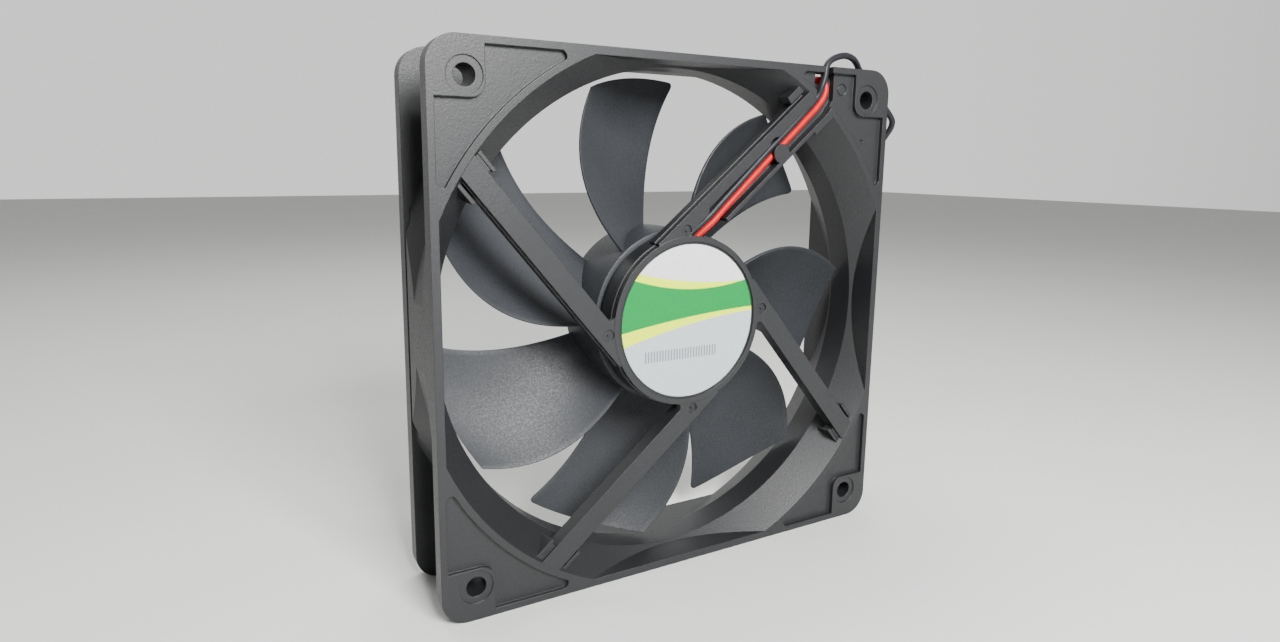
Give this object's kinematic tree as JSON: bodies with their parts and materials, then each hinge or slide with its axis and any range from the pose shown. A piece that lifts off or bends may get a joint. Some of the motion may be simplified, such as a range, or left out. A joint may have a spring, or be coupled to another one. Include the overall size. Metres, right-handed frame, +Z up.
{
  "type": "axial case fan",
  "caption": "Square axial cooling fan with a bladed impeller, angled struts, a labelled round motor base and two leads ending in a small plug.",
  "frame": {"origin": "centre of the lower edge on which the fan stands, below the fan axis and midway between the faces", "axes": "+Z up; -Y out of the label (outlet) face; +Y out of the open (intake) face; the fan axis is parallel to Y, 60 mm above the origin"},
  "size_m": [0.1483, 0.0432, 0.124],
  "materials": {
    "frame_plastic": "glass-filled moulding, fine satin grain",
    "blade_plastic": "satin moulding",
    "yoke_steel": "drawn and plated",
    "bonded_ferrite": "matt",
    "shaft_steel": "ground",
    "brass": "turned",
    "oil_ring_rubber": "matt",
    "sintered_bronze": "sintered, oily",
    "white_nylon": "satin",
    "black_rubber": "matt",
    "laminated_steel": "stamped laminations",
    "enamelled_copper": "enamelled copper wire, gloss",
    "tinned_metal": "tin-plated",
    "board_laminate": "green solder mask, gloss",
    "chip_epoxy": "moulded epoxy",
    "capacitor_ceramic": "ceramic",
    "solder": "bright",
    "label_film": "printed silver film with yellow and green bands",
    "red_pvc": "PVC sleeve, satin",
    "black_pvc": "PVC sleeve, satin",
    "coiled_leads": "red and black PVC sleeves wound together",
    "tie_nylon": "black nylon",
    "connector_plastic": "natural nylon"
  },
  "bodies": {
    "frame": {"fan_frame": "frame_plastic", "end_plug": "black_rubber", "sleeve_bearing": "sintered_bronze", "thrust_washer": "white_nylon", "stator_core": "laminated_steel", "front_insulator": "white_nylon", "rear_insulator": "white_nylon", "coil_windings": "enamelled_copper", "winding_pins": "tinned_metal", "circuit_board": "board_laminate", "driver_chip": "chip_epoxy", "hall_sensor": "chip_epoxy", "board_capacitor": "capacitor_ceramic", "board_resistors": "chip_epoxy", "solder_joints": "solder", "label": "label_film", "red_wire_inner": "red_pvc", "black_wire_inner": "black_pvc", "red_lead": "red_pvc", "black_lead": "black_pvc", "lead_coil": "coiled_leads", "coil_tie": "tie_nylon", "connector_housing": "connector_plastic", "connector_terminals": "tinned_metal"},
    "rotor": {"impeller": "blade_plastic", "rotor_yoke": "yoke_steel", "rotor_magnet": "bonded_ferrite", "shaft": "shaft_steel", "shaft_bushing": "brass", "oil_ring": "oil_ring_rubber", "retaining_clip": "white_nylon"}
  },
  "joints": [
    {"name": "impeller_spin", "type": "hinge", "parent": "frame", "child": "rotor", "pos_m": [0, 0, 0.06], "axis": [0, 1, 0], "continuous": true}
  ]
}
